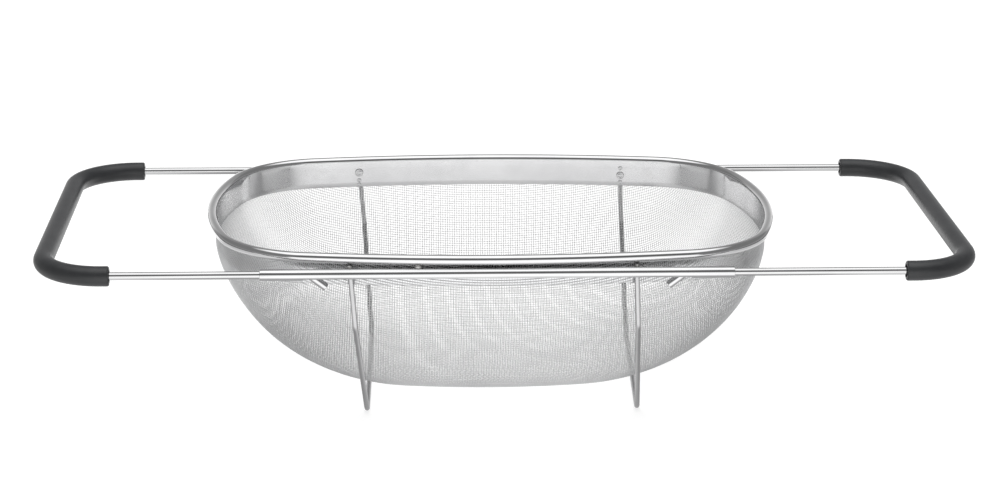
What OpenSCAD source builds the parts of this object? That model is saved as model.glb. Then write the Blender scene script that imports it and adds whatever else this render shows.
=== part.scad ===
// Oval fine-mesh strainer that spans a sink, with two wire handles that slide out of side guides.
// Millimetres. +X runs along the oval to the right handle, +Z is up, Z = 0 is the surface
// that the feet stand on, and X = 0, Y = 0 is the middle of the whole strainer.

/* [Rim] */
// Length of the basket, over the rim bead
rim_length = 355.6; // [350:0.2:362]
// Width of the basket, over the rim bead
rim_width = 240; // [238:0.5:244]
// Height of the rim bead's centre above the surface
rim_height = 111.2; // [110:0.1:120]
// Radius of the long sides
side_radius = 800; // [700:10:900]
// Radius of the short ends
end_radius = 212; // [205:1:230]
// Radius of the four corners
corner_radius = 62; // [58:1:66]
// Diameter of the rolled bead
bead_d = 6.4; // [6:0.1:7]
// Thickness of the rim's sheet metal
sheet = 0.6; // [0.5:0.05:0.7]
// Depth of the flat band, below the bead's centre
band_depth = 16.8; // [14:0.1:20]

/* [Mesh basket] */
// Depth of the basket, below the bead's centre
basket_depth = 105.8; // [95:0.1:106]
// Depth of the straight wall at the top of the basket
wall_depth = 17.2; // [17:0.1:20]
// Thickness of the woven wire cloth
mesh_thick = 0.55; // [0.4:0.05:0.6]

/* [Guides and handles] */
// Diameter of the handle wire
rod_d = 4.8; // [4.4:0.1:5]
// Outside diameter of the guide tubes
guide_d = 6.8; // [6.8:0.1:7.2]
// Length of each guide tube
guide_length = 280; // [270:1:290]
// Length of closed tube at each end of a guide
guide_end = 25.5; // [20:0.5:30]
// Distance of each guide's axis below the bead's centre
guide_drop = 7.8; // [7.6:0.1:9]
// Reach of the left handle from the rim's middle, pulled out
left_reach = 270.5; // [265:0.5:300]
// Reach of the right handle from the rim's middle, pulled out
right_reach = 285; // [265:0.5:300]
// Bend radius of the handles' corners
handle_radius = 38; // [34:1:42]
// Diameter of the rubber grips
grip_d = 12; // [11:0.5:13]
// Length of grip along each handle leg, from the cross bar's axis
grip_leg = 42.6; // [42:0.1:46]
// How far the left handle is pushed in
left_slide = 0; // [0:1:86]
// How far the right handle is pushed in
right_slide = 0; // [0:1:101]

/* [Feet] */
// Diameter of the foot wire
foot_d = 3.2; // [3:0.1:3.4]
// Distance of the left foot from the rim's middle
left_foot_x = 85.7; // [80:0.1:90]
// Distance of the right foot from the rim's middle
right_foot_x = 87.2; // [80:0.1:90]
// Depth of the knee, below the bead's centre
knee_depth = 44; // [42:1:48]
// Half width of the foot's bottom run, to its corners
foot_half = 72; // [68:1:76]
// Lean of the left foot towards the right handle, in degrees
left_foot_lean = 4.7; // [0:0.1:6]
// Lean of the right foot towards the right handle, in degrees
right_foot_lean = 2.4; // [0:0.1:6]
// Turn of the left foot about an upright line, in degrees
left_foot_turn = 0.9; // [0:0.1:2]
// Turn of the right foot about an upright line, in degrees
right_foot_turn = 2.4; // [0:0.1:3]

/* [Hidden] */

STEEL = [0.80, 0.81, 0.82];
CLOTH = [0.90, 0.91, 0.92];
RUBBER = [0.12, 0.12, 0.13];
ROUND = 48;
SWEEP = 720;

// Place of the rim's middle
rim_x = (left_reach - right_reach) / 2;

// Half axes of the line along the bead's centre
half_x = (rim_length - bead_d) / 2;
half_y = (rim_width - bead_d) / 2;

// The corner arc is tangent to the end arc and to the side arc
end_centre = [half_x - end_radius, 0];
side_centre = [0, half_y - side_radius];
end_gap = end_radius - corner_radius;
side_gap = side_radius - corner_radius;
centre_line = end_centre - side_centre;
centre_span = norm(centre_line);
along = centre_line / centre_span;
across = [-along.y, along.x];
foot_of_height = (centre_span ^ 2 + side_gap ^ 2 - end_gap ^ 2) / (2 * centre_span);
corner_centre = side_centre + along * foot_of_height
    - across * sqrt(side_gap ^ 2 - foot_of_height ^ 2);
end_turn = heading(corner_centre - end_centre);
side_turn = heading(corner_centre - side_centre);

// The eight arcs of the oval, each [centre, radius, first angle, angle swept]
corner_turn = side_turn - end_turn;
ARCS = [
    [end_centre, end_radius, -end_turn, 2 * end_turn],
    [corner_centre, corner_radius, end_turn, corner_turn],
    [side_centre, side_radius, side_turn, 180 - 2 * side_turn],
    [[-corner_centre.x, corner_centre.y], corner_radius, 180 - side_turn, corner_turn],
    [-end_centre, end_radius, 180 - end_turn, 2 * end_turn],
    [-corner_centre, corner_radius, 180 + end_turn, corner_turn],
    [-side_centre, side_radius, 180 + side_turn, 180 - 2 * side_turn],
    [[corner_centre.x, -corner_centre.y], corner_radius, 360 - side_turn, corner_turn]
];

// The core wire fills the bead with a little play
core_d = bead_d - 2 * sheet - 0.3;

// The cloth lies against the outside of the band, with its edge under the bead
cloth_gap = 0.22;
cloth_inner = -bead_d / 2 + sheet + cloth_gap;
cloth_outer = cloth_inner + mesh_thick;
cloth_top = 2.8;

// Each guide tube is tangent to the cloth at the middle of a long side
fit_gap = 0.05;
guide_y = half_y + cloth_outer + fit_gap + guide_d / 2;
guide_bore = rod_d + 0.16;
guide_slot = rod_d + 0.4;
slot_length = guide_length - 2 * guide_end;

// Hooks at the inner ends of the handle legs stop against the ends of the guide slots
hook_start = slot_length / 2 - 1;
hook_radius = 7;
hook_angle = 38;
hook_tail = 10.3;
hook_lead = 5;

// Grips are tubes around the wire, with a wider mouth at each end
grip_bore = rod_d + 0.2;
mouth_d = 7.5;
mouth_depth = 2;

// The foot legs stand just outside the cloth, and their plane turns about their tops
foot_top = 3.6;
foot_y = 112.6;
foot_radius = 9;

// Ties between the runs of a bent wire or rim: their length, how far they stand proud of the
// run, and the gap that they bridge on each side of a bend
tie_length = 1;
tie_proud = 0.06;
tie_gap = 0.1;

// Rings and points of the cloth
RING_COUNT = 14;
ARC_STEPS = 8;
RING_POINTS = 8 * ARC_STEPS;

function heading(v) = atan2(v.y, v.x);
function unit(v) = v / norm(v);
function degrees(radians) = radians * 180 / PI;

// Angle turned at corner i of a flat path, and the length of each leg that its bend uses up
function turn(path, i) =
    let (u = unit(path[i] - path[i - 1]), v = unit(path[i + 1] - path[i]))
    atan2(u.x * v.y - u.y * v.x, u * v);
function setback(path, radii, i) =
    i == 0 || i == len(path) - 1 ? 0 : radii[i] * tan(abs(turn(path, i)) / 2);

// Points around the oval, moved out by offset
function oval(offset) = [
    for (arc = ARCS)
        for (i = [0 : ARC_STEPS - 1])
            let (a = arc[2] + arc[3] * i / ARC_STEPS)
            arc[0] + (arc[1] + offset) * [cos(a), sin(a)]
];

// One ring of the cloth: the oval shrunk along and across, at a depth below the bead's centre
function ring(offset, scale_x, scale_y, depth) = [
    for (p = oval(offset)) [rim_x + p.x * scale_x, p.y * scale_y, rim_height - depth]
];

// Rings of one face of the cloth, from its top edge to just short of its lowest point
function face_rings(offset, depth) = concat(
    [ring(offset, 1, 1, cloth_top)],
    [
        for (i = [0 : RING_COUNT - 1])
            let (u = pow(sin(90 * i / RING_COUNT), 2 / 1.9))
            ring(
                offset, pow(1 - pow(u, 1.5), 1 / 2.9), pow(1 - pow(u, 1.82), 1 / 3.3),
                wall_depth + u * (depth - wall_depth)
            )
    ]
);
function reversed(list) = [for (i = [len(list) - 1 : -1 : 0]) list[i]];
function flatten(list) = [for (row = list) for (item = row) item];

// Sweep a section, drawn about the bead's centre, around the whole oval. The arcs stop just
// short of each other, and the second child, a slightly thicker section, ties them together.
module sweep_oval() {
    for (arc = ARCS) {
        trim = degrees(tie_gap / arc[1]);
        translate([rim_x + arc[0].x, arc[0].y, rim_height]) {
            rotate([0, 0, arc[2] + trim])
                rotate_extrude(angle = arc[3] - 2 * trim, $fn = SWEEP)
                    translate([arc[1], 0]) children(0);
            rotate([0, 0, arc[2]])
                translate([arc[1], 0, 0])
                    rotate([90, 0, 0])
                        linear_extrude(tie_length, center = true) children(1);
        }
    }
}

// Sweep a round section along a flat path whose corners are bends, with gaps beside the bends
module bent_bar(path, radii, gap = 0) {
    for (i = [0 : len(path) - 2]) {
        leg = path[i + 1] - path[i];
        first_cut = i == 0 ? 0 : setback(path, radii, i) + gap;
        last_cut = i == len(path) - 2 ? 0 : setback(path, radii, i + 1) + gap;
        start = path[i] + unit(leg) * first_cut;
        translate([start.x, start.y, 0])
            rotate([0, 0, heading(leg)])
                rotate([0, 90, 0])
                    linear_extrude(norm(leg) - first_cut - last_cut) children();
    }
    for (i = [1 : len(path) - 2]) {
        u = unit(path[i] - path[i - 1]);
        v = unit(path[i + 1] - path[i]);
        side = sign(turn(path, i));
        centre = path[i] - u * setback(path, radii, i) + side * radii[i] * [-u.y, u.x];
        first = side > 0 ? heading(u) - 90 : heading(v) + 90;
        translate([centre.x, centre.y, 0])
            rotate([0, 0, first])
                rotate_extrude(angle = abs(turn(path, i)), $fn = SWEEP / 4)
                    translate([radii[i], 0]) children();
    }
}

// Solid wire bent along a flat path, with a short tie at both ends of every bend
module bent_wire(path, radii, d) {
    bent_bar(path, radii, tie_gap) circle(d = d, $fn = ROUND);
    for (i = [1 : len(path) - 2])
        for (way = [unit(path[i - 1] - path[i]), unit(path[i + 1] - path[i])]) {
            place = path[i] + way * setback(path, radii, i);
            translate([place.x, place.y, 0])
                rotate([0, 0, heading(way)])
                    rotate([0, 90, 0])
                        cylinder(d = d + 2 * tie_proud, h = tie_length, center = true, $fn = ROUND);
        }
}

// Section of the rim: a rolled bead with a flat band hanging from its inner side
module rim_section(proud) {
    difference() {
        union() {
            circle(d = bead_d + 2 * proud, $fn = ROUND);
            translate([-bead_d / 2 - proud, -band_depth - proud])
                square([sheet + 2 * proud, band_depth + proud]);
        }
        circle(d = bead_d - 2 * sheet - 2 * proud, $fn = ROUND);
    }
}

module rim_band() {
    color(STEEL)
        sweep_oval() {
            rim_section(0);
            rim_section(tie_proud);
        }
}

// Wire that the bead is rolled around
module rim_core_wire() {
    color(STEEL)
        sweep_oval() {
            circle(d = core_d, $fn = ROUND);
            circle(d = core_d + 2 * tie_proud, $fn = ROUND);
        }
}

// Deep pressed bowl of woven wire cloth, drawn as one skin
module mesh_basket() {
    rings = concat(
        reversed(face_rings(cloth_inner, basket_depth - mesh_thick)),
        face_rings(cloth_outer, basket_depth)
    );
    last = len(rings) - 1;
    inside_low = len(rings) * RING_POINTS;
    outside_low = inside_low + 1;
    lowest = rim_height - basket_depth;
    color(CLOTH)
        polyhedron(
            points = concat(
                flatten(rings),
                [[rim_x, 0, lowest + mesh_thick], [rim_x, 0, lowest]]
            ),
            faces = concat(
                [
                    for (r = [0 : last - 1])
                        for (i = [0 : RING_POINTS - 1])
                            for (half = [0, 1])
                                let (
                                    j = (i + 1) % RING_POINTS,
                                    a = r * RING_POINTS,
                                    b = a + RING_POINTS
                                )
                                half == 0 ? [a + i, a + j, b + j] : [a + i, b + j, b + i]
                ],
                [
                    for (i = [0 : RING_POINTS - 1])
                        [inside_low, (i + 1) % RING_POINTS, i]
                ],
                [
                    for (i = [0 : RING_POINTS - 1])
                        let (a = last * RING_POINTS)
                        [a + i, a + (i + 1) % RING_POINTS, outside_low]
                ]
            )
        );
}

// Tube along a long side; between its closed ends it is open downwards for the hooks
module guide_tube(side) {
    color(STEEL)
        translate([rim_x, side * guide_y, rim_height - guide_drop])
            difference() {
                rotate([0, 90, 0])
                    cylinder(d = guide_d, h = guide_length, center = true, $fn = ROUND);
                rotate([0, 90, 0])
                    cylinder(d = guide_bore, h = guide_length + 2, center = true, $fn = ROUND);
                translate([-slot_length / 2, -guide_slot / 2, -guide_d])
                    cube([slot_length, guide_slot, guide_d]);
            }
}

module front_guide_tube() {
    guide_tube(-1);
}

module rear_guide_tube() {
    guide_tube(1);
}

// U of wire welded outside the cloth, with splayed legs and a straight bottom run
module foot_wire(x, lean, turn) {
    knee = knee_depth - foot_top;
    bottom = (rim_height - foot_top - foot_d / 2) / cos(lean);
    color(STEEL)
        translate([rim_x + x, 0, rim_height - foot_top])
            rotate([0, -lean, turn])
                rotate([90, 0, 90])
                    bent_wire(
                        [
                            [-foot_y, 0], [-foot_y, -knee], [-foot_half, -bottom],
                            [foot_half, -bottom], [foot_y, -knee], [foot_y, 0]
                        ],
                        [0, foot_radius, foot_radius, foot_radius, foot_radius, 0], foot_d
                    );
}

module left_foot_wire() {
    foot_wire(-left_foot_x, left_foot_lean, -left_foot_turn);
}

module right_foot_wire() {
    foot_wire(right_foot_x, right_foot_lean, -right_foot_turn);
}

// Place a handle, drawn pointing to +X from the rim's middle, on its side of the strainer
module on_side(side, slide) {
    translate([rim_x - side * slide, 0, rim_height - guide_drop])
        rotate([0, 0, side > 0 ? 0 : 180]) children();
}

// U of wire in the guides, each leg ending in a hook that points down and inwards
module handle_rod(reach) {
    inner = hook_start + hook_lead;
    bend_run = hook_radius * tan(hook_angle / 2);
    tail = bend_run + hook_tail;
    bent_wire(
        [[inner, -guide_y], [reach, -guide_y], [reach, guide_y], [inner, guide_y]],
        [0, handle_radius, handle_radius, 0], rod_d
    );
    for (y = [-guide_y, guide_y])
        translate([inner, y, 0])
            rotate([90, 0, 0])
                bent_wire(
                    [
                        [0, 0], [-hook_lead - bend_run, 0],
                        [-hook_lead - bend_run - tail * cos(hook_angle), -tail * sin(hook_angle)]
                    ],
                    [0, hook_radius, 0], rod_d
                );
}

module left_handle_rod() {
    color(STEEL) on_side(-1, left_slide) handle_rod(left_reach);
}

module right_handle_rod() {
    color(STEEL) on_side(1, right_slide) handle_rod(right_reach);
}

// Rubber sleeve over the cross bar, the corners and the ends of both legs
module grip(reach) {
    difference() {
        bent_bar(
            [
                [reach - grip_leg, -guide_y], [reach, -guide_y],
                [reach, guide_y], [reach - grip_leg, guide_y]
            ],
            [0, handle_radius, handle_radius, 0]
        )
            difference() {
                circle(d = grip_d, $fn = ROUND);
                circle(d = grip_bore, $fn = ROUND);
            }
        for (y = [-guide_y, guide_y])
            translate([reach - grip_leg - 1, y, 0])
                rotate([0, 90, 0])
                    cylinder(d = mouth_d, h = mouth_depth + 1, $fn = ROUND);
    }
}

module left_grip() {
    color(RUBBER) on_side(-1, left_slide) grip(left_reach);
}

module right_grip() {
    color(RUBBER) on_side(1, right_slide) grip(right_reach);
}

rim_band();
rim_core_wire();
mesh_basket();
front_guide_tube();
rear_guide_tube();
left_foot_wire();
right_foot_wire();
left_handle_rod();
right_handle_rod();
left_grip();
right_grip();
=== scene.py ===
"""Looks for the oval over-sink strainer: woven wire basket, rolled rim, wire feet and sliding handles."""
import bpy
import math
import numpy as np
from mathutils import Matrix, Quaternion, Vector


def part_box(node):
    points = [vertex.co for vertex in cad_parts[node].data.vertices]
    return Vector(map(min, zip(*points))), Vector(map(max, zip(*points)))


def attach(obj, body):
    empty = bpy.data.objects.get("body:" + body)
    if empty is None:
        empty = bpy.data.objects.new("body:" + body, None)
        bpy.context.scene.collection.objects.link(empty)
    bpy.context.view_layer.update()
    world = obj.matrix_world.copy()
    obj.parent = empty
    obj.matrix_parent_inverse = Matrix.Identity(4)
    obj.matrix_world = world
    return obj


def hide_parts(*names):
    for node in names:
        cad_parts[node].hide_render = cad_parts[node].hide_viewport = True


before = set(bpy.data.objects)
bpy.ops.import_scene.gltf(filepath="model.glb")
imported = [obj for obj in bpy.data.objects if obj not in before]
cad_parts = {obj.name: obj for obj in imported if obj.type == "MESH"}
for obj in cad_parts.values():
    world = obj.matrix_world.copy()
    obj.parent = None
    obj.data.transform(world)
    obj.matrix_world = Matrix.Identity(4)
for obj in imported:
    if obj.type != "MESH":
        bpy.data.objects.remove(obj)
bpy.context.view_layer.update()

MM = 0.001

# Driving dimensions of the shapes made here, in millimetres. Places come from the frame's boxes.
RIM_LENGTH = 355.6
RIM_WIDTH = 240.0
BEAD_D = 6.4
SHEET = 0.6
BAND_DEPTH = 16.8
BAND_START = 2.0
LIP_ANGLE = math.radians(-122)
SIDE_RADIUS = 800.0
END_RADIUS = 212.0
CORNER_RADIUS = 62.0
CLOTH_OUTER = -1.83
CLOTH_THICK = 0.55
CLOTH_TOP = 2.5
CLOTH_WALL = 17.2
CLOTH_DEPTH = 105.8
# Height of the pressed blank above the rim's middle, before it is trimmed at CLOTH_TOP
CLOTH_SPARE = 12
# Exponents of the bowl's section: how its depth is stepped, then its outline along and across
BOWL_STEPPING = 1.9
BOWL_ALONG = (1.5, 2.9)
BOWL_ACROSS = (1.82, 3.3)
# How sharply the cloth's extra length gathers towards the middle lines
GATHER = 3.0
PITCH = 1.58
STRAND_D = 0.30
GUIDE_D = 6.8
GUIDE_BORE = 4.96
GUIDE_SLOT = 5.2
GUIDE_LENGTH = 280.0
GUIDE_SLOT_HALF = 114.5
ROD_D = 4.8
HANDLE_RADIUS = 38.0
HOOK_START = 113.5
HOOK_RADIUS = 7.0
HOOK_ANGLE = math.radians(38)
HOOK_TAIL = 10.3
GRIP_D = 12.0
GRIP_BORE = 5.0
MOUTH_D = 7.5
MOUTH_DEPTH = 2.0
GRIP_STEPS = 40
FOOT_D = 3.2
FOOT_Y = 112.6
FOOT_TOP = 3.6
FOOT_KNEE = 44.0
FOOT_HALF = 72.0
FOOT_RADIUS = 9.0
# Each foot's distance from the rim's middle, lean, and turn about an upright line
LEFT_FOOT = (-85.7, math.radians(4.7), math.radians(-0.9))
RIGHT_FOOT = (87.2, math.radians(2.4), math.radians(-2.4))
# Weld beads: place from the rim's middle, half sizes, and the first seed of their unevenness
GUIDE_WELD = {"x": -47, "y": 117.6, "depth": 3.8, "half": (2.2, 1.2, 1.25), "seed": 3}
FOOT_WELD = {"y": 114.6, "depth": 1.4, "half": (1.7, 1.5, 1.5), "seed": 11}
# Depth and size of the three spot marks above each foot, left and right
SPOT_MARKS = (
    ((6.9, 1.7), (12.4, 0.9), (15.4, 0.9)),
    ((4.7, 0.9), (9.6, 1.6), (14.4, 0.9)),
)


# ---------------------------------------------------------------- places, from the frame

def middle(node):
    """Centre of a CAD node's box, in millimetres."""
    low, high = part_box(node)
    return (Vector(low) + Vector(high)) / 2 / MM


def box_mm(node):
    """Low and high corners of a CAD node's box, in millimetres."""
    low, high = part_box(node)
    return Vector(low) / MM, Vector(high) / MM


RIM = middle("rim_core_wire")
FRONT_GUIDE = middle("front_guide_tube")
REAR_GUIDE = middle("rear_guide_tube")
HALF_X = (RIM_LENGTH - BEAD_D) / 2
HALF_Y = (RIM_WIDTH - BEAD_D) / 2


# ---------------------------------------------------------------- mesh helpers

def new_mesh(name, points, quads, body, material, tris=()):
    """A smooth mesh object from millimetre points, riding on a body and material."""
    mesh = bpy.data.meshes.new(name)
    points = np.asarray(points, dtype=np.float64) * MM
    quads = np.asarray(quads, dtype=np.int32).reshape(-1, 4)
    tris = np.asarray(tris, dtype=np.int32).reshape(-1, 3)
    mesh.vertices.add(len(points))
    mesh.vertices.foreach_set("co", points.ravel())
    mesh.loops.add(quads.size + tris.size)
    mesh.loops.foreach_set("vertex_index", np.r_[quads.ravel(), tris.ravel()])
    mesh.polygons.add(len(quads) + len(tris))
    starts = np.r_[np.arange(len(quads)) * 4, quads.size + np.arange(len(tris)) * 3]
    mesh.polygons.foreach_set("loop_start", starts.astype(np.int32))
    mesh.update(calc_edges=True)
    mesh.validate()
    mesh.polygons.foreach_set("use_smooth", np.full(len(mesh.polygons), True))
    piece = bpy.data.objects.new(name, mesh)
    bpy.context.scene.collection.objects.link(piece)
    mesh.materials.append(material)
    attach(piece, body)
    return piece


def unit(v):
    v = np.asarray(v, dtype=float)
    return v / np.maximum(np.linalg.norm(v, axis=-1, keepdims=True), 1e-12)


def ring_quads(rings, steps, closed):
    """Quads between successive rings; closed joins the last ring to the first."""
    r = np.arange(rings if closed else rings - 1)[:, None]
    k = np.arange(steps)[None, :]
    ahead, turn = (r + 1) % rings, (k + 1) % steps
    corners = [r * steps + k, r * steps + turn, ahead * steps + turn, ahead * steps + k]
    return np.stack(corners, axis=-1).reshape(-1, 4)


def tangents(path):
    return unit(np.gradient(np.asarray(path, dtype=float), axis=0))


def frames(path):
    """Side and up vectors carried along a path without twist."""
    ahead = tangents(path)
    side = np.zeros_like(ahead)
    guess = np.cross(ahead[0], (0, 0, 1))
    if np.linalg.norm(guess) < 0.1:
        guess = np.cross(ahead[0], (0, 1, 0))
    side[0] = unit(guess)
    for i in range(1, len(ahead)):
        side[i] = unit(side[i - 1] - ahead[i] * (side[i - 1] @ ahead[i]))
    return side, np.cross(side, ahead)


def circle_rings(centres, side, up, radii, steps):
    """Rings of points around the centres, one for each radius."""
    a = np.arange(steps) * 2 * math.pi / steps
    radii = np.asarray(radii, dtype=float)[:, None, None]
    out = side[:, None, :] * np.cos(a)[None, :, None] + up[:, None, :] * np.sin(a)[None, :, None]
    return centres[:, None, :] + out * radii


def fillet_path(corners, radii, step_deg=4.0, spacing=6.0):
    """A path of 3D points through the corners, each rounded to its radius."""
    corners = [np.asarray(c, dtype=float) for c in corners]
    out = [corners[0]]
    for i in range(1, len(corners) - 1):
        u = unit(corners[i] - corners[i - 1])
        v = unit(corners[i + 1] - corners[i])
        angle = math.acos(max(-1.0, min(1.0, float(u @ v))))
        start = corners[i] - u * radii[i] * math.tan(angle / 2)
        inward = unit(v - u * (u @ v))
        centre = start + inward * radii[i]
        turns = max(3, round(math.degrees(angle) / step_deg))
        for k in range(turns + 1):
            a = angle * k / turns
            out.append(centre - inward * radii[i] * math.cos(a) + u * radii[i] * math.sin(a))
    out.append(corners[-1])
    dense = [out[0]]
    for p, q in zip(out, out[1:]):
        pieces = max(1, int(np.linalg.norm(q - p) / spacing))
        dense += [p + (q - p) * (k + 1) / pieces for k in range(pieces)]
    return np.array(dense)


def wire(name, path, diameter, body, material, steps=32, edge=0.45):
    """A solid round wire along a path, its cut ends slightly rounded over."""
    side, up = frames(path)
    ahead = tangents(path)
    r = diameter / 2
    turn = np.linspace(0, math.pi / 2, 5)
    back = edge * (1 - np.sin(turn))
    radius = r - edge * (1 - np.cos(turn))
    order = np.argsort(back)
    back, radius = back[order], radius[order]
    first = path[0] + ahead[0] * back[:, None]
    last = path[-1] - ahead[-1] * back[::-1, None]
    centres = np.vstack([first, path[1:-1], last])
    n = len(back)
    sides = np.vstack([np.repeat(side[:1], n, 0), side[1:-1], np.repeat(side[-1:], n, 0)])
    ups = np.vstack([np.repeat(up[:1], n, 0), up[1:-1], np.repeat(up[-1:], n, 0)])
    radii = np.r_[radius, np.full(len(path) - 2, r), radius[::-1]]
    points = circle_rings(centres, sides, ups, radii, steps).reshape(-1, 3)
    rings = len(centres)
    count = len(points)
    points = np.vstack([points, centres[0], centres[-1]])
    k = np.arange(steps)
    ahead_k = (k + 1) % steps
    base = count - steps
    tris = np.vstack([
        np.stack([np.full(steps, count), ahead_k, k], axis=-1),
        np.stack([np.full(steps, count + 1), base + k, base + ahead_k], axis=-1),
    ])
    return new_mesh(name, points, ring_quads(rings, steps, False), body, material, tris)


# ---------------------------------------------------------------- materials

def principled(name, color, metallic, roughness):
    material = bpy.data.materials.new(name)
    material.use_nodes = True
    shader = material.node_tree.nodes["Principled BSDF"]
    shader.inputs["Base Color"].default_value = (*color, 1)
    shader.inputs["Metallic"].default_value = metallic
    shader.inputs["Roughness"].default_value = roughness
    return material, shader


def noise(material, scale, detail=3.0, stretch=(1, 1, 1)):
    """A noise texture in object space, stretched along the axes."""
    nodes, links = material.node_tree.nodes, material.node_tree.links
    place = nodes.new("ShaderNodeTexCoord")
    mapping = nodes.new("ShaderNodeMapping")
    mapping.inputs["Scale"].default_value = stretch
    texture = nodes.new("ShaderNodeTexNoise")
    texture.inputs["Scale"].default_value = scale
    texture.inputs["Detail"].default_value = detail
    links.new(place.outputs["Object"], mapping.inputs["Vector"])
    links.new(mapping.outputs["Vector"], texture.inputs["Vector"])
    return texture.outputs["Fac"]


def spread(material, value, low, high):
    """Map a 0 to 1 value to a range."""
    node = material.node_tree.nodes.new("ShaderNodeMapRange")
    node.inputs["To Min"].default_value = low
    node.inputs["To Max"].default_value = high
    material.node_tree.links.new(value, node.inputs["Value"])
    return node.outputs["Result"]


def bump(material, shader, value, distance, strength=1.0):
    """Drive the surface's small relief by a 0 to 1 value; distance is in metres."""
    node = material.node_tree.nodes.new("ShaderNodeBump")
    node.inputs["Distance"].default_value = distance
    node.inputs["Strength"].default_value = strength
    material.node_tree.links.new(value, node.inputs["Height"])
    material.node_tree.links.new(node.outputs["Normal"], shader.inputs["Normal"])


def blend_by(material, factor, low, high):
    """Linear mix of two values by a factor; either may be a number or a socket."""
    node = material.node_tree.nodes.new("ShaderNodeMix")
    node.clamp_factor = True
    links = material.node_tree.links
    links.new(factor, node.inputs["Factor"])
    for socket, value in (("A", low), ("B", high)):
        if isinstance(value, (int, float)):
            node.inputs[socket].default_value = value
        else:
            links.new(value, node.inputs[socket])
    return node.outputs["Result"]


def tint(material, shader, value, dark, light):
    """Base colour between two colours, by a 0 to 1 value."""
    ramp = material.node_tree.nodes.new("ShaderNodeValToRGB")
    ramp.color_ramp.elements[0].position = 0.3
    ramp.color_ramp.elements[0].color = (*dark, 1)
    ramp.color_ramp.elements[1].position = 0.7
    ramp.color_ramp.elements[1].color = (*light, 1)
    material.node_tree.links.new(value, ramp.inputs["Fac"])
    material.node_tree.links.new(ramp.outputs["Color"], shader.inputs["Base Color"])


def drawn_steel(name, color, low, high, stretch):
    """Bright drawn steel: long faint draw marks in its gloss, colour and surface."""
    material, shader = principled(name, color, 1.0, low)
    marks = noise(material, 240, 4, stretch)
    material.node_tree.links.new(spread(material, marks, low, high), shader.inputs["Roughness"])
    smudge = noise(material, 35, 3)
    tint(material, shader, smudge, [c * 0.95 for c in color], [min(c * 1.04, 1) for c in color])
    bump(material, shader, noise(material, 60, 2, stretch), 0.00002, 0.5)
    return material


def rim_steel():
    """One rolled sheet: mirror bright over the bead, with the satin of the strip on the band."""
    color = (0.66, 0.66, 0.665)
    material, shader = principled("rim_steel", color, 1.0, 0.08)
    nodes, links = material.node_tree.nodes, material.node_tree.links
    place = nodes.new("ShaderNodeTexCoord")
    split = nodes.new("ShaderNodeSeparateXYZ")
    links.new(place.outputs["Object"], split.inputs["Vector"])
    below = nodes.new("ShaderNodeMapRange")
    below.inputs["From Min"].default_value = (RIM.z - 2.2) * MM
    below.inputs["From Max"].default_value = (RIM.z - 4.2) * MM
    links.new(split.outputs["Z"], below.inputs["Value"])
    marks = noise(material, 260, 4, (0.08, 0.08, 1))
    bead = spread(material, marks, 0.05, 0.10)
    band = spread(material, marks, 0.12, 0.19)
    links.new(blend_by(material, below.outputs["Result"], bead, band), shader.inputs["Roughness"])
    smudge = noise(material, 40, 3)
    tint(material, shader, smudge, (0.63, 0.63, 0.637), (0.69, 0.69, 0.695))
    bump(material, shader, noise(material, 26, 1, (1, 1, 0.08)), 0.00025, 1.0)
    return material


def grip_rubber():
    """Satin black rubber with a very fine moulded grain."""
    material, shader = principled("grip_rubber", (0.022, 0.023, 0.025), 0.0, 0.42)
    grain = noise(material, 1500, 4)
    material.node_tree.links.new(spread(material, grain, 0.34, 0.50), shader.inputs["Roughness"])
    tint(material, shader, noise(material, 90, 4), (0.018, 0.019, 0.021), (0.028, 0.029, 0.031))
    bump(material, shader, grain, 0.00005, 0.35)
    return material


def strand_steel():
    """Bright wire of the woven cloth, a little uneven in gloss and colour."""
    material, shader = principled("strand_steel", (0.71, 0.713, 0.718), 1.0, 0.30)
    patches = noise(material, 28, 3)
    material.node_tree.links.new(spread(material, patches, 0.26, 0.34), shader.inputs["Roughness"])
    tint(material, shader, patches, (0.68, 0.683, 0.69), (0.74, 0.742, 0.745))
    return material


RIM_STEEL = rim_steel()
GUIDE_STEEL = drawn_steel("guide_steel", (0.66, 0.66, 0.665), 0.06, 0.13, (0.03, 1, 1))
WIRE_STEEL = drawn_steel("wire_steel", (0.63, 0.63, 0.635), 0.06, 0.13, (0.05, 0.05, 1))
# The foot wire's colour is darker than the other wire steel: painted shade, for the shaded surroundings the
# feet reflect. It is also rougher.
FOOT_STEEL_PAINTED_SHADE = drawn_steel("foot_steel_painted_shade", (0.47, 0.47, 0.475), 0.16, 0.26, (1, 1, 0.05))
WELD_STEEL = drawn_steel("weld_steel", (0.50, 0.495, 0.485), 0.22, 0.38, (1, 1, 1))
STRAND_STEEL = strand_steel()
RUBBER = grip_rubber()


# ---------------------------------------------------------------- the oval and the bowl

def oval_arcs():
    """Centre, radius and end angles of the three arcs of the oval's first quarter."""
    end = np.array([HALF_X - END_RADIUS, 0.0])
    side = np.array([0.0, HALF_Y - SIDE_RADIUS])
    end_gap = END_RADIUS - CORNER_RADIUS
    side_gap = SIDE_RADIUS - CORNER_RADIUS
    line = end - side
    span = np.linalg.norm(line)
    along = line / span
    across = np.array([-along[1], along[0]])
    foot = (span ** 2 + side_gap ** 2 - end_gap ** 2) / (2 * span)
    corner = side + along * foot - across * math.sqrt(side_gap ** 2 - foot ** 2)
    first = math.atan2(corner[1] - end[1], corner[0] - end[0])
    second = math.atan2(corner[1] - side[1], corner[0] - side[0])
    return [
        (end, END_RADIUS, 0.0, first),
        (corner, CORNER_RADIUS, first, second),
        (side, SIDE_RADIUS, second, math.pi / 2),
    ]


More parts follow.
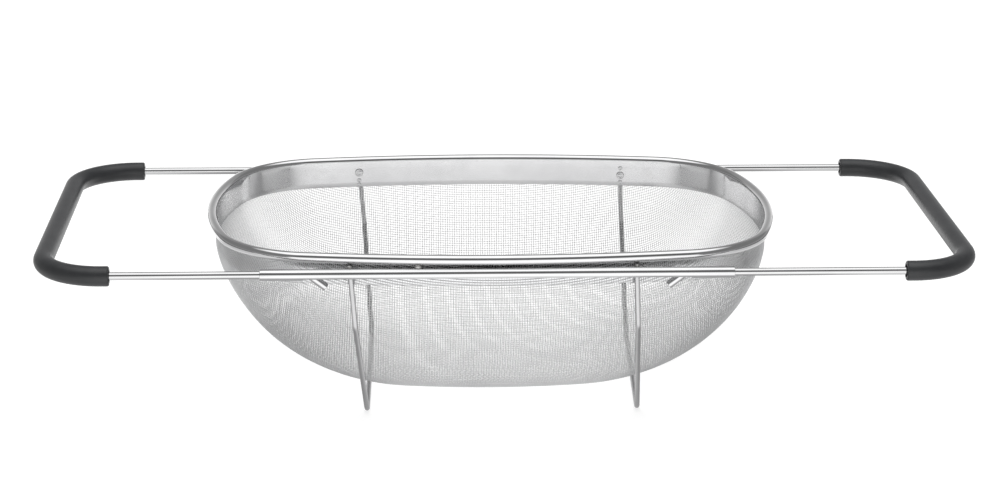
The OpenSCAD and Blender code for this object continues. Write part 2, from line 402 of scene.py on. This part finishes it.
def quarter(offset, steps):
    """Points and outward normals along the oval's first quarter, from +X to +Y."""
    points, normals = [], []
    for centre, radius, start, stop in oval_arcs():
        a = np.linspace(start, stop, steps, endpoint=False)
        out = np.c_[np.cos(a), np.sin(a)]
        points.append(centre + (radius + offset) * out)
        normals.append(out)
    points.append([[0.0, HALF_Y + offset]])
    normals.append([[0.0, 1.0]])
    return np.vstack(points), np.vstack(normals)


def full_oval(offset, steps):
    """Points and outward normals around the whole oval."""
    p, n = quarter(offset, steps)
    flips = [((1, 1), False), ((-1, 1), True), ((-1, -1), False), ((1, -1), True)]
    points, normals = [], []
    for sign, back in flips:
        q, m = p * sign, n * sign
        if back:
            q, m = q[::-1], m[::-1]
        points.append(q[:-1])
        normals.append(m[:-1])
    return np.vstack(points), np.vstack(normals)


def bowl_profile(depth):
    """Depth of the bowl's levels from its lowest point up, and how far each shrinks along and across."""
    turn = np.linspace(math.pi / 2, 0, 500)
    u = np.sin(turn) ** (2 / BOWL_STEPPING)
    shrink_x = np.maximum(1 - u ** BOWL_ALONG[0], 0) ** (1 / BOWL_ALONG[1])
    shrink_y = np.maximum(1 - u ** BOWL_ACROSS[0], 0) ** (1 / BOWL_ACROSS[1])
    z = CLOTH_WALL + u * (depth - CLOTH_WALL)
    wall = np.linspace(CLOTH_WALL, -CLOTH_SPARE, 60)[1:]
    z = np.r_[z, wall]
    shrink_x = np.r_[shrink_x, np.ones(len(wall))]
    shrink_y = np.r_[shrink_y, np.ones(len(wall))]
    return z, shrink_x, shrink_y


class Bowl:
    """The cloth's middle surface, and where a point of the flat blank ends up on it."""

    def __init__(self):
        offset = CLOTH_OUTER - CLOTH_THICK / 2
        self.reach_x = HALF_X + offset
        self.reach_y = HALF_Y + offset
        self.outline, _ = quarter(offset, 200)
        self.heading = np.arctan2(self.outline[:, 1] / self.reach_y, self.outline[:, 0] / self.reach_x)
        self.z, self.sx, self.sy = bowl_profile(CLOTH_DEPTH - CLOTH_THICK / 2)
        step_x = np.hypot(np.diff(self.sx * self.reach_x), np.diff(self.z))
        step_y = np.hypot(np.diff(self.sy * self.reach_y), np.diff(self.z))
        self.len_x = np.r_[0, np.cumsum(step_x)]
        self.len_y = np.r_[0, np.cumsum(step_y)]
        self.level = (self.len_x / self.len_x[-1] + self.len_y / self.len_y[-1]) / 2

    def place(self, heading, level):
        """Outline point at a heading, and the shrinks and depth at a level."""
        px = np.interp(heading, self.heading, self.outline[:, 0])
        py = np.interp(heading, self.heading, self.outline[:, 1])
        sx = np.interp(level, self.level, self.sx)
        sy = np.interp(level, self.level, self.sy)
        z = np.interp(level, self.level, self.z)
        return px, py, sx, sy, z

    def flat(self, heading, level):
        """Where a point of the bowl lay in the flat cloth before pressing."""
        px, py, sx, sy, _ = self.place(heading, level)
        extra_x = np.interp(level, self.level, self.len_x) - self.reach_x * sx
        extra_y = np.interp(level, self.level, self.len_y) - self.reach_y * sy
        x = px * sx + extra_x * (px / self.reach_x) ** GATHER
        y = py * sy + extra_y * (py / self.reach_y) ** GATHER
        return x, y

    def press(self, x, y):
        """Places on the bowl of points of the flat cloth, by Newton's steps, and how far each misses."""
        rx, ry = x / self.len_x[-1], y / self.len_y[-1]
        heading = np.arctan2(ry, rx)
        level = np.clip((rx ** 3 + ry ** 3) ** (1 / 3), 0.004, 1.0)
        step = 1e-4
        for _ in range(40):
            fx, fy = self.flat(heading, level)
            hx, hy = self.flat(heading + step, level)
            lx, ly = self.flat(heading, level + step)
            a, c = (hx - fx) / step, (hy - fy) / step
            b, d = (lx - fx) / step, (ly - fy) / step
            det = a * d - b * c
            det = np.where(np.abs(det) < 1e-6, 1e-6, det)
            ex, ey = x - fx, y - fy
            dh = np.clip((d * ex - b * ey) / det, -0.1, 0.1)
            dl = np.clip((a * ey - c * ex) / det, -0.05, 0.05)
            heading = np.clip(heading + dh * 0.8, 0, math.pi / 2 - step)
            level = np.clip(level + dl * 0.8, 0.0005, 1.0)
        px, py, sx, sy, z = self.place(heading, level)
        fx, fy = self.flat(heading, level)
        miss = np.hypot(fx - x, fy - y)
        return px * sx, py * sy, z, miss


def woven_cloth(bowl):
    """Nodes of the weave: a square net pressed into the bowl, one node for each crossing."""
    count_x = int(bowl.len_x[-1] / PITCH) + 1
    count_y = int(bowl.len_y[-1] / PITCH) + 1
    i = (np.arange(count_x) + 0.5) * PITCH
    j = (np.arange(count_y) + 0.5) * PITCH
    gx, gy = np.meshgrid(i, j, indexing="ij")
    x, y, z, miss = (a.reshape(gx.shape) for a in bowl.press(gx.ravel(), gy.ravel()))
    good = miss < 0.05
    for axis in (0, 1):
        x_sign, y_sign = (-1, 1) if axis == 0 else (1, -1)
        x = np.concatenate([np.flip(x, axis) * x_sign, x], axis=axis)
        y = np.concatenate([np.flip(y, axis) * y_sign, y], axis=axis)
        z = np.concatenate([np.flip(z, axis), z], axis=axis)
        good = np.concatenate([np.flip(good, axis), good], axis=axis)
    return np.stack([x + RIM.x, y, RIM.z - z], axis=-1), good


def strands(nodes, good, lift):
    """Four points around every node of the strands along the grid's first axis, and which are kept."""
    top = RIM.z - CLOTH_TOP
    nodes = nodes.copy()
    inside = good & (nodes[..., 2] < top)
    keep = inside.copy()
    # The node just past each end is pulled back to the cloth's edge
    for shift in (1, -1):
        ahead = np.roll(inside, shift, axis=0)
        near = np.roll(nodes, shift, axis=0)
        edge = ahead & ~inside & good
        edge[0 if shift == 1 else -1] = False
        rise = np.where(edge, nodes[..., 2] - near[..., 2], 1.0)
        part = np.clip((top - near[..., 2]) / rise, 0.02, 1)[..., None]
        moved = near + (nodes - near) * part
        nodes = np.where(edge[..., None], moved, nodes)
        keep |= edge
    tangent = unit(np.gradient(nodes, axis=0))
    across = unit(np.gradient(nodes, axis=1))
    normal = unit(np.cross(tangent, across))
    centre = nodes + normal * lift[..., None]
    side = unit(np.cross(normal, tangent))
    r = STRAND_D / 2
    ring = [side * (r * c) + normal * (r * s) for c, s in ((1, 0), (0, 1), (-1, 0), (0, -1))]
    points = np.stack([centre + k for k in ring], axis=2)
    return points, keep


def strand_piece(name, points, keep, lanes):
    """One mesh of all the strands in a range of lanes of the grid's second axis."""
    points, keep = points[:, lanes], keep[:, lanes]
    index = -np.ones(keep.shape, dtype=np.int64)
    index[keep] = np.arange(keep.sum())
    both = keep[:-1] & keep[1:]
    a, b = index[:-1][both] * 4, index[1:][both] * 4
    quads = [np.stack([a + k, a + (k + 1) % 4, b + (k + 1) % 4, b + k], axis=-1) for k in range(4)]
    start = keep.copy()
    start[1:] &= ~keep[:-1]
    stop = keep.copy()
    stop[:-1] &= ~keep[1:]
    first, last = index[start] * 4, index[stop] * 4
    quads.append(np.stack([first + 3, first + 2, first + 1, first], axis=-1))
    quads.append(np.stack([last, last + 1, last + 2, last + 3], axis=-1))
    return new_mesh(
        name, points[keep].reshape(-1, 3), np.concatenate(quads), "basket", STRAND_STEEL
    )


def build_cloth():
    """The woven basket: warp and weft strands, each in four pieces."""
    nodes, good = woven_cloth(Bowl())
    over = np.indices(good.shape).sum(axis=0) % 2 * 2 - 1
    lift = over * STRAND_D / 2
    warp, keep = strands(nodes, good, lift)
    weft, keep_weft = strands(nodes.transpose(1, 0, 2), good.T, lift.T)
    for label, points, kept in (("warp", warp, keep), ("weft", weft, keep_weft)):
        for n, lanes in enumerate(np.array_split(np.arange(points.shape[1]), 4)):
            strand_piece(f"cloth_{label}_{n + 1}", points, kept, lanes)
    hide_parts("mesh_basket")


# ---------------------------------------------------------------- rim

def rim_section():
    """The rolled sheet: up the band's inner face, over the bead, and under to the cloth's edge."""
    outer, inner = BEAD_D / 2, BEAD_D / 2 - SHEET
    a = np.linspace(math.pi, LIP_ANGLE, 60)
    outside = np.c_[np.cos(a) * outer, np.sin(a) * outer]
    inside = np.c_[np.cos(a[::-1]) * inner, np.sin(a[::-1]) * inner]
    r = SHEET / 2
    lip_mid = (outside[-1] + inside[0]) / 2
    lip_dir = unit(outside[-1] - inside[0])
    lip_out = np.array([lip_dir[1], -lip_dir[0]])
    turn = np.linspace(0, math.pi, 7)[1:-1]
    lip = np.array([lip_mid + lip_dir * r * math.cos(t) + lip_out * r * math.sin(t) for t in turn])
    band_out = np.array([[-inner, z] for z in np.linspace(-BAND_START, -BAND_DEPTH + r, 6)])
    foot = np.array(
        [[-outer + r + r * math.cos(t), -BAND_DEPTH + r - r * math.sin(t)] for t in turn]
    )
    band_in = np.array([[-outer, z] for z in np.linspace(-BAND_DEPTH + r, -BAND_START, 6)])
    return np.vstack([outside, lip, inside, band_out, foot, band_in])


def build_rim():
    """The rolled sheet's section carried round the oval."""
    points, normals = full_oval(0.0, 28)
    path = np.c_[points[:, 0] + RIM.x, points[:, 1], np.full(len(points), RIM.z)]
    out = np.c_[normals, np.zeros(len(points))]
    section = rim_section()
    verts = path[:, None, :] + out[:, None, :] * section[None, :, 0, None]
    verts = verts + np.array([0.0, 0.0, 1.0]) * section[None, :, 1, None]
    quads = ring_quads(len(path), len(section), True)
    rim = new_mesh("rim_rolled_sheet", verts.reshape(-1, 3), quads, "basket", RIM_STEEL)
    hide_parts("rim_band")


# ---------------------------------------------------------------- guides, handles and feet

def guide_sections():
    """A guide's outer ring and its inner ring, closed and open below; (across, up) pairs."""
    outer, inner, half_slot = GUIDE_D / 2, GUIDE_BORE / 2, GUIDE_SLOT / 2
    tip = math.asin(half_slot / outer) - math.pi / 2
    leg, over, under = np.linspace(0, 1, 5)[:-1], np.linspace(0, 1, 37), np.linspace(0, 1, 13)[1:-1]
    side = tip * (1 - leg)
    angles = np.r_[side, over * math.pi, math.pi - side[::-1], math.pi - tip + under * (math.pi + 2 * tip)]
    ring = np.c_[np.cos(angles), np.sin(angles)]
    legs, last = len(leg), len(leg) * 2 + len(over) - 1
    in_open = ring * inner
    tip_z = outer * math.sin(tip) + 0.02
    in_open[:legs] = np.c_[np.full(legs, half_slot - 0.08), tip_z * (1 - leg)]
    in_open[last - legs + 1:last + 1] = in_open[:legs][::-1] * (-1, 1)
    return ring * outer, ring * inner, in_open, last


def build_guide(name, node, centre):
    """A thin tube with closed ends and an open slot along its underside."""
    out_ring, in_ring, in_open, last = guide_sections()
    steps = len(out_ring)
    half, slot, edge = GUIDE_LENGTH / 2, GUIDE_SLOT_HALF, 0.25
    lip = [(edge * (1 - math.cos(t)), edge * (1 - math.sin(t))) for t in np.linspace(0, math.pi / 2, 4)]
    stations = [(-half + d, shrink, False) for d, shrink in lip]
    stations += [(-slot - 0.02, 0, False)]
    stations += [(x, 0, True) for x in np.linspace(-slot, slot, 16)]
    stations += [(slot + 0.02, 0, False)]
    stations += [(half - d, shrink, False) for d, shrink in reversed(lip)]
    outside, inside = [], []
    for x, shrink, is_open in stations:
        bore = in_open if is_open else in_ring
        outside.append(np.c_[np.full(steps, x), out_ring * (1 - shrink * 2 / GUIDE_D)])
        inside.append(np.c_[np.full(steps, x), bore * (1 + shrink * 2 / GUIDE_BORE)])
    points = np.vstack(outside + inside) + np.array(centre)
    count = len(stations)
    grid = np.arange(count * steps).reshape(count, steps)
    second = grid + grid.size
    k = np.arange(steps)
    ahead = (k + 1) % steps
    every, bottom = np.ones(steps, bool), k >= last
    quads = []

    def face(i, use, flip):
        a, b = k[use], ahead[use]
        ring = [grid[i, a], grid[i, b], second[i, b], second[i, a]]
        quads.append(np.stack(ring[::-1] if flip else ring, axis=-1))

    def wall(i, at, flip):
        ring = [grid[i, at], second[i, at], second[i + 1, at], grid[i + 1, at]]
        quads.append(np.array([ring[::-1] if flip else ring]))

    for i in range(count - 1):
        is_open = stations[i][2] and stations[i + 1][2]
        use = ~bottom if is_open else every
        a, b = k[use], ahead[use]
        quads.append(np.stack([grid[i, a], grid[i + 1, a], grid[i + 1, b], grid[i, b]], axis=-1))
        quads.append(np.stack([second[i, a], second[i, b], second[i + 1, b], second[i + 1, a]], axis=-1))
        if is_open:
            wall(i, 0, False)
            wall(i, last, True)
    opens = [i for i in range(count) if stations[i][2]]
    face(opens[0], bottom, False)
    face(opens[-1], bottom, True)
    face(0, every, True)
    face(count - 1, every, False)
    piece = new_mesh(name, points, np.vstack(quads), "basket", GUIDE_STEEL)
    piece.data.set_sharp_from_angle(angle=math.radians(50))
    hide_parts(node)


def handle_side(node, sign):
    """Distance of a handle's cross bar from the rim's middle."""
    low, high = box_mm(node)
    edge = high.x if sign > 0 else low.x
    return abs(edge - RIM.x) - ROD_D / 2


def build_rod(name, node, body, sign):
    """A handle's wire: along both guides and round the cross bar, with a hook at each end."""
    reach = handle_side(node, sign)
    run = HOOK_RADIUS * math.tan(HOOK_ANGLE / 2)
    tail = run + HOOK_TAIL
    bend_x = HOOK_START - run
    tip_x, tip_z = bend_x - tail * math.cos(HOOK_ANGLE), -tail * math.sin(HOOK_ANGLE)
    front, rear, axis = FRONT_GUIDE.y, REAR_GUIDE.y, FRONT_GUIDE.z
    corners = [
        (tip_x, front, tip_z), (bend_x, front, 0), (reach, front, 0),
        (reach, rear, 0), (bend_x, rear, 0), (tip_x, rear, tip_z),
    ]
    places = [(RIM.x + sign * x, y, axis + z) for x, y, z in corners]
    radii = [0, HOOK_RADIUS, HANDLE_RADIUS, HANDLE_RADIUS, HOOK_RADIUS, 0]
    rod = wire(name, fillet_path(places, radii), ROD_D, body, WIRE_STEEL)
    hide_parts(node)


def build_grip(name, node, rod, body, sign):
    """A rubber sleeve along the cross bar and round both corners, with a lipped mouth at each end."""
    low, high = box_mm(node)
    reach = handle_side(rod, sign)
    start = abs((low.x if sign > 0 else high.x) - RIM.x)
    front, rear, axis = FRONT_GUIDE.y, REAR_GUIDE.y, FRONT_GUIDE.z
    corners = [(start, front), (reach, front), (reach, rear), (start, rear)]
    places = [(RIM.x + sign * x, y, axis) for x, y in corners]
    path = fillet_path(places, [0, HANDLE_RADIUS, HANDLE_RADIUS, 0], 3.0, 4.0)
    side, up = frames(path)
    ahead = tangents(path)
    outer, bore, mouth = GRIP_D / 2, GRIP_BORE / 2, MOUTH_D / 2
    turn = np.linspace(0, math.pi / 2, 7)
    lip, soft = 1.1, 0.45
    profile = [(0.0, mouth + soft)]
    profile += [(lip * (1 - math.cos(t)), outer - lip * (1 - math.sin(t))) for t in turn]
    well = [(soft * (1 - math.sin(t)), mouth + soft * (1 - math.cos(t))) for t in turn]
    deep = [(MOUTH_DEPTH - 0.2, mouth), (MOUTH_DEPTH, mouth - 0.2), (MOUTH_DEPTH, bore)]
    rings = []

    def ring(i, forward, radius):
        place = path[i] + ahead[i] * forward
        a = np.arange(GRIP_STEPS) * 2 * math.pi / GRIP_STEPS
        rings.append(place + side[i] * (np.cos(a) * radius)[:, None] + up[i] * (np.sin(a) * radius)[:, None])

    for back, radius in profile:
        ring(0, back, radius)
    for i in range(1, len(path) - 1):
        ring(i, 0, outer)
    for back, radius in reversed(profile):
        ring(-1, -back, radius)
    for back, radius in reversed(well):
        ring(-1, -back, radius)
    for back, radius in deep:
        ring(-1, -back, radius)
    for i in range(len(path) - 2, 0, -1):
        ring(i, 0, bore)
    for back, radius in reversed(deep):
        ring(0, back, radius)
    for back, radius in well:
        ring(0, back, radius)
    points = np.vstack(rings)
    grip = new_mesh(name, points, ring_quads(len(rings), GRIP_STEPS, True), body, RUBBER)
    grip.data.set_sharp_from_angle(angle=math.radians(60))
    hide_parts(node)


def foot_place(foot, y, depth):
    """A point of a foot's plane, leaned and turned, from its distance across and down its plane."""
    x, lean, turn = foot
    out = depth * math.sin(lean)
    return np.array([
        RIM.x + x + out * math.cos(turn) - y * math.sin(turn),
        out * math.sin(turn) + y * math.cos(turn),
        RIM.z - FOOT_TOP - depth * math.cos(lean),
    ])


def build_foot(name, node, foot):
    """One wire bent into a wide stirrup: down the outside, in at the knees, and across below."""
    knee = FOOT_KNEE - FOOT_TOP
    bottom = (RIM.z - FOOT_TOP - FOOT_D / 2) / math.cos(foot[1])
    corners = [
        (-FOOT_Y, 0), (-FOOT_Y, knee), (-FOOT_HALF, bottom),
        (FOOT_HALF, bottom), (FOOT_Y, knee), (FOOT_Y, 0),
    ]
    places = [foot_place(foot, y, depth) for y, depth in corners]
    radii = [0, FOOT_RADIUS, FOOT_RADIUS, FOOT_RADIUS, FOOT_RADIUS, 0]
    # The stirrup takes the darker foot steel, whose darkness is painted shade.
    piece = wire(name, fillet_path(places, radii), FOOT_D, "basket", FOOT_STEEL_PAINTED_SHADE, 24, 0.3)
    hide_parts(node)


# ---------------------------------------------------------------- welds

def lump(centre, half, seed):
    """Points and quads of a small uneven weld bead."""
    random = np.random.default_rng(seed)
    rows, steps = 12, 20
    polar = np.linspace(0.02, math.pi - 0.02, rows)[:, None]
    around = (np.arange(steps) * 2 * math.pi / steps)[None, :]
    shape = np.stack([
        np.cos(polar) * np.ones_like(around), np.sin(polar) * np.cos(around), np.sin(polar) * np.sin(around),
    ], axis=-1)
    swell = np.ones((rows, steps))
    for wave in range(1, 4):
        first, second = random.uniform(0, 6, 2)
        swell += 0.06 * np.sin(wave * polar * 2 + first) * np.cos(wave * around + second)
    points = np.array(centre) + shape * swell[..., None] * np.array(half)
    return points.reshape(-1, 3), ring_quads(rows, steps, False)


def spot_mark(centre, inward, size):
    """A shallow ring that a spot weld leaves on the sheet."""
    radii = np.array((0.05, 0.7, 1.0, 1.25, 1.5, 1.75)) * size
    proud = np.array((0.05, 0.06, 0.2, 0.24, 0.12, -0.1)) * size
    steps = 28
    a = (np.arange(steps) * 2 * math.pi / steps)[None, :, None]
    side = unit(np.cross((0, 0, 1), inward))
    flat = side * np.cos(a) + np.array([0.0, 0.0, 1.0]) * np.sin(a)
    points = np.array(centre) + flat * radii[:, None, None]
    points = points + np.array(inward) * proud[:, None, None]
    return points.reshape(-1, 3), ring_quads(len(radii), steps, False)


def joined(parts):
    """Several point and quad lists as one."""
    points, quads, base = [], [], 0
    for p, q in parts:
        points.append(p)
        quads.append(q + base)
        base += len(p)
    return np.vstack(points), np.vstack(quads)


def build_welds():
    """Beads under the rim at the guides and feet, and spot marks on the band's inner face."""
    beads, marks = [], []
    guide, at_foot = GUIDE_WELD, FOOT_WELD
    for n, side in enumerate((-1, 1)):
        place = (RIM.x + guide["x"], side * guide["y"], RIM.z - guide["depth"])
        beads.append(lump(place, guide["half"], guide["seed"] + n))
        for m, foot in enumerate((LEFT_FOOT, RIGHT_FOOT)):
            top = foot_place(foot, side * FOOT_Y, at_foot["depth"])
            place = (top[0], side * at_foot["y"], top[2])
            beads.append(lump(place, at_foot["half"], at_foot["seed"] + 2 * n + m))
            radius = SIDE_RADIUS - BEAD_D / 2
            lean = math.asin((top[0] - RIM.x) / radius)
            y = HALF_Y - SIDE_RADIUS + radius * math.cos(lean)
            for depth, size in SPOT_MARKS[m]:
                centre = (top[0], side * y, RIM.z - depth)
                marks.append(spot_mark(centre, (-math.sin(lean), -side * math.cos(lean), 0), size))
    points, quads = joined(beads)
    new_mesh("weld_beads", points, quads, "basket", WELD_STEEL)
    points, quads = joined(marks)
    new_mesh("spot_weld_marks", points, quads, "basket", RIM_STEEL)


# ---------------------------------------------------------------- camera, light and stage

LENS = 92.9
SENSOR = 36
# What the camera looks at, in millimetres along and up from the rim's middle
AIM_ALONG = 6.34
AIM_UP = -25.4
CAMERA_AZIMUTH = math.radians(-2.54)
CAMERA_ELEVATION = math.radians(16.65)
CAMERA_DISTANCE = 1.6386
CAMERA_ROLL = math.radians(0.35)

# Brightness of the tent against height: 0 is straight down, 0.5 level, 1 straight up
WORLD_FRONT = (
    (0.0, 0.8), (0.067, 0.9), (0.165, 1.1), (0.25, 1.55), (0.456, 1.6), (0.561, 1.2), (0.638, 0.25),
    (0.671, 0.17), (0.883, 0.17), (0.919, 0.6), (0.941, 1.55), (1.0, 1.55),
)
WORLD_BACK = (
    (0.0, 0.8), (0.165, 1.1), (0.25, 1.35), (0.456, 1.2), (0.55, 0.8), (0.65, 0.45), (0.75, 0.35),
    (0.92, 0.3), (0.955, 1.55), (1.0, 1.55),
)
WORLD_ENDS = (
    (0.0, 0.6), (0.25, 0.4), (0.45, 0.4), (0.56, 0.35), (0.64, 0.25), (0.88, 0.25), (0.94, 1.55), (1.0, 1.55),
)

# The card's glow stands in for a lit table that the steel reflects, dimmer across its middle as a painted
# shadow of the strainer on it. Each row is a distance from the middle where a change starts and ends, in
# metres, and the brightness before and after it.
TABLE_ACROSS = (0.13, 0.30, 0.93, 1.6)
TABLE_ALONG = (0.24, 0.32, 1.0, 0.8)
# Two shaded patches on it, one each side of the middle, and their brightness
PATCH_NEAR = (0.05, 0.10, 0.0, 1.0)
PATCH_FAR = (0.19, 0.24, 1.0, 0.0)
PATCH_ACROSS = (0.15, 0.22, 1.0, 0.0)
PATCH_SHADE = 0.55


def build_camera():
    """A long lens, raised a little above the strainer and a little to its left."""
    data = bpy.data.cameras.new("camera")
    data.lens = LENS
    data.sensor_width = SENSOR
    data.clip_start = 0.05
    data.clip_end = 100
    camera = bpy.data.objects.new("camera", data)
    bpy.context.scene.collection.objects.link(camera)
    target = Vector((RIM.x + AIM_ALONG, 0, RIM.z + AIM_UP)) * MM
    back = Vector((
        math.sin(CAMERA_AZIMUTH) * math.cos(CAMERA_ELEVATION),
        -math.cos(CAMERA_AZIMUTH) * math.cos(CAMERA_ELEVATION),
        math.sin(CAMERA_ELEVATION),
    ))
    camera.location = target + back * CAMERA_DISTANCE
    turn = (-back).to_track_quat("-Z", "Y")
    camera.rotation_mode = "QUATERNION"
    camera.rotation_quaternion = turn @ Quaternion((0, 0, 1), CAMERA_ROLL)
    bpy.context.scene.camera = camera


def height_ramp(nodes, links, height, stops):
    """A grey ramp over the direction's height; stops are (height, brightness), brightness up to 2."""
    node = nodes.new("ShaderNodeValToRGB")
    ramp = node.color_ramp
    for element, (at, shade) in zip(ramp.elements, (stops[0], stops[-1])):
        element.position = at
        element.color = (shade / 2, shade / 2, shade / 2, 1)
    for at, shade in stops[1:-1]:
        ramp.elements.new(at).color = (shade / 2, shade / 2, shade / 2, 1)
    links.new(height, node.inputs["Fac"])
    return node.outputs["Color"]


def build_world():
    """A white tent, bright overhead and at table level, with grey belts that the steel reflects."""
    world = bpy.data.worlds.new("studio")
    bpy.context.scene.world = world
    world.use_nodes = True
    nodes, links = world.node_tree.nodes, world.node_tree.links
    place = nodes.new("ShaderNodeTexCoord")
    split = nodes.new("ShaderNodeSeparateXYZ")
    links.new(place.outputs["Generated"], split.inputs["Vector"])

    def maths(operation, *values):
        node = nodes.new("ShaderNodeMath")
        node.operation = operation
        for socket, value in zip(node.inputs, values):
            if isinstance(value, (int, float)):
                socket.default_value = value
            else:
                links.new(value, socket)
        return node.outputs["Value"]

    height = maths("MULTIPLY_ADD", split.outputs["Z"], 0.5, 0.5)
    ends, front, rear = (
        height_ramp(nodes, links, height, stops) for stops in (WORLD_ENDS, WORLD_FRONT, WORLD_BACK)
    )

    def smooth(value, start, stop):
        node = nodes.new("ShaderNodeMapRange")
        node.interpolation_type = "SMOOTHSTEP"
        node.inputs["From Min"].default_value = start
        node.inputs["From Max"].default_value = stop
        links.new(value, node.inputs["Value"])
        return node.outputs["Result"]

    def mixed(factor, first, second):
        node = nodes.new("ShaderNodeMix")
        node.data_type = "RGBA"
        for socket, value in (("Factor", factor), ("A", first), ("B", second)):
            links.new(value, node.inputs[socket])
        return node.outputs["Result"]

    across = maths("ABSOLUTE", split.outputs["Y"])
    along = maths("ABSOLUTE", split.outputs["X"])
    level = maths("SQRT", maths("ADD", maths("MULTIPLY", across, across), maths("MULTIPLY", along, along)))
    share = maths("DIVIDE", across, maths("MAXIMUM", level, 0.0001))
    faces = mixed(smooth(split.outputs["Y"], -0.15, 0.15), front, rear)
    light = mixed(smooth(share, 0.80, 0.88), ends, faces)
    back = nodes["Background"]
    links.new(light, back.inputs["Color"])
    back.inputs["Strength"].default_value = 2.0


def build_light():
    """One large soft light overhead, which the steel does not reflect."""
    data = bpy.data.lights.new("overhead", "AREA")
    data.shape = "RECTANGLE"
    data.size, data.size_y = 2.4, 1.6
    data.energy = 30
    light = bpy.data.objects.new("overhead", data)
    bpy.context.scene.collection.objects.link(light)
    place, target = Vector((0.1, 0.2, 1.9)), Vector((0, 0, 0.1))
    light.location = place
    light.rotation_mode = "QUATERNION"
    light.rotation_quaternion = (target - place).to_track_quat("-Z", "Y")
    light.visible_glossy = False


def flat_square(name, half_x, half_y, z):
    """A level rectangle that is part of the stage, not of the object."""
    mesh = bpy.data.meshes.new(name)
    corners = [(-half_x, -half_y, z), (half_x, -half_y, z), (half_x, half_y, z), (-half_x, half_y, z)]
    mesh.from_pydata(corners, [], [(0, 1, 2, 3)])
    flat = bpy.data.objects.new(name, mesh)
    bpy.context.scene.collection.objects.link(flat)
    return flat


def build_stage():
    """A white floor, and a glowing card just above it that only reflections see."""
    floor = flat_square("floor", 30.0, 30.0, 0.0)
    material, shader = principled("floor_white", (0.3, 0.3, 0.3), 0.0, 0.8)
    shader.inputs["Specular IOR Level"].default_value = 0.1
    shader.inputs["Emission Color"].default_value = (1, 1, 1, 1)
    shader.inputs["Emission Strength"].default_value = 0.76
    floor.data.materials.append(material)
    floor.visible_glossy = False
    card = flat_square("reflection_card", 0.6, 2.0, 0.0004)
    for flag in ("visible_camera", "visible_diffuse", "visible_shadow", "visible_transmission"):
        setattr(card, flag, False)
    material = bpy.data.materials.new("table_glow")
    material.use_nodes = True
    nodes, links = material.node_tree.nodes, material.node_tree.links
    nodes.clear()
    place = nodes.new("ShaderNodeTexCoord")
    split = nodes.new("ShaderNodeSeparateXYZ")
    links.new(place.outputs["Object"], split.inputs["Vector"])

    def fade(axis, change):
        """A smooth change of a value with the distance from the middle, along one axis."""
        size = nodes.new("ShaderNodeMath")
        size.operation = "ABSOLUTE"
        links.new(split.outputs[axis], size.inputs[0])
        node = nodes.new("ShaderNodeMapRange")
        node.interpolation_type = "SMOOTHSTEP"
        for socket, value in zip(("From Min", "From Max", "To Min", "To Max"), change):
            node.inputs[socket].default_value = value
        links.new(size.outputs["Value"], node.inputs["Value"])
        return node.outputs["Result"]

    def times(first, second):
        node = nodes.new("ShaderNodeMath")
        node.operation = "MULTIPLY"
        links.new(first, node.inputs[0])
        links.new(second, node.inputs[1])
        return node.outputs["Value"]

    patch = times(times(fade("X", PATCH_NEAR), fade("X", PATCH_FAR)), fade("Y", PATCH_ACROSS))
    darker = nodes.new("ShaderNodeMapRange")
    darker.inputs["To Min"].default_value = 1.0
    darker.inputs["To Max"].default_value = PATCH_SHADE
    links.new(patch, darker.inputs["Value"])
    # Dimmer across the middle: painted shadow of the strainer on the reflected table.
    open_table = times(fade("Y", TABLE_ACROSS), fade("X", TABLE_ALONG))
    glow = nodes.new("ShaderNodeEmission")
    links.new(times(open_table, darker.outputs["Result"]), glow.inputs["Strength"])
    out = nodes.new("ShaderNodeOutputMaterial")
    links.new(glow.outputs["Emission"], out.inputs["Surface"])
    card.data.materials.append(material)


def finish_cad_materials():
    """The core wire stays as the CAD made it, in the wire's finish."""
    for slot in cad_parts["rim_core_wire"].material_slots:
        slot.material = WIRE_STEEL


build_camera()
build_world()
build_light()
build_stage()
bpy.context.scene.view_settings.view_transform = "Standard"
build_cloth()
build_rim()
build_guide("front_guide_sleeve", "front_guide_tube", FRONT_GUIDE)
build_guide("rear_guide_sleeve", "rear_guide_tube", REAR_GUIDE)
build_rod("left_handle_wire", "left_handle_rod", "left_handle", -1)
build_rod("right_handle_wire", "right_handle_rod", "right_handle", 1)
build_grip("left_grip_sleeve", "left_grip", "left_handle_rod", "left_handle", -1)
build_grip("right_grip_sleeve", "right_grip", "right_handle_rod", "right_handle", 1)
build_foot("left_foot_stirrup", "left_foot_wire", LEFT_FOOT)
build_foot("right_foot_stirrup", "right_foot_wire", RIGHT_FOOT)
build_welds()
finish_cad_materials()
